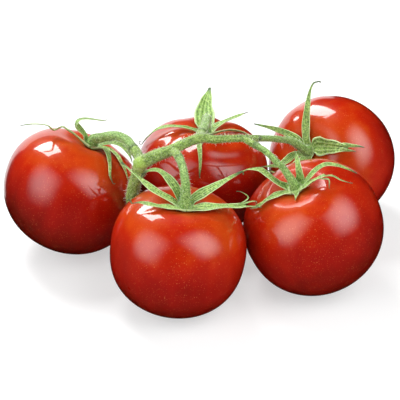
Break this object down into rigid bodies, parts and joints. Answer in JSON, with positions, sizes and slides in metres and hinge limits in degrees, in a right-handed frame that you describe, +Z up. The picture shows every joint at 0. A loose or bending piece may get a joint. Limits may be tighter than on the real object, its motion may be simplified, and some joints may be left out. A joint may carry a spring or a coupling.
{
  "type": "truss of tomatoes",
  "caption": "Truss of ripe round vine tomatoes lying on a surface, each hanging from a green star-shaped calyx and a knuckled pedicel on an arched main stem.",
  "frame": {"origin": "bottom centre of the truss's bounding box, on the surface that the tomatoes rest on", "axes": "+X along the truss, from the left tomato towards the right ones; +Y away from the front tomato; +Z up"},
  "size_m": [0.1976, 0.1442, 0.077],
  "materials": {
    "tomato_skin": "ripe tomato skin: glossy waxy red with fine pale flecks, more orange at the shoulders",
    "calyx": "light green veined sepals, soft sheen, dark specks and darker curled tips",
    "pedicel": "green stalk with fine short hairs and lengthwise streaks",
    "stem": "mid green stem with fine short hairs, darker mottling and a pale dry cut end"
  },
  "bodies": {
    "root": {"main_stem": "stem", "tomato_left": "tomato_skin", "calyx_left": "calyx", "pedicel_left": "pedicel", "tomato_front": "tomato_skin", "calyx_front": "calyx", "pedicel_front": "pedicel", "tomato_right": "tomato_skin", "calyx_right": "calyx", "pedicel_right": "pedicel", "tomato_back_right": "tomato_skin", "calyx_back_right": "calyx", "pedicel_back_right": "pedicel", "tomato_back": "tomato_skin", "calyx_back": "calyx", "pedicel_back": "pedicel"}
  },
  "joints": []
}
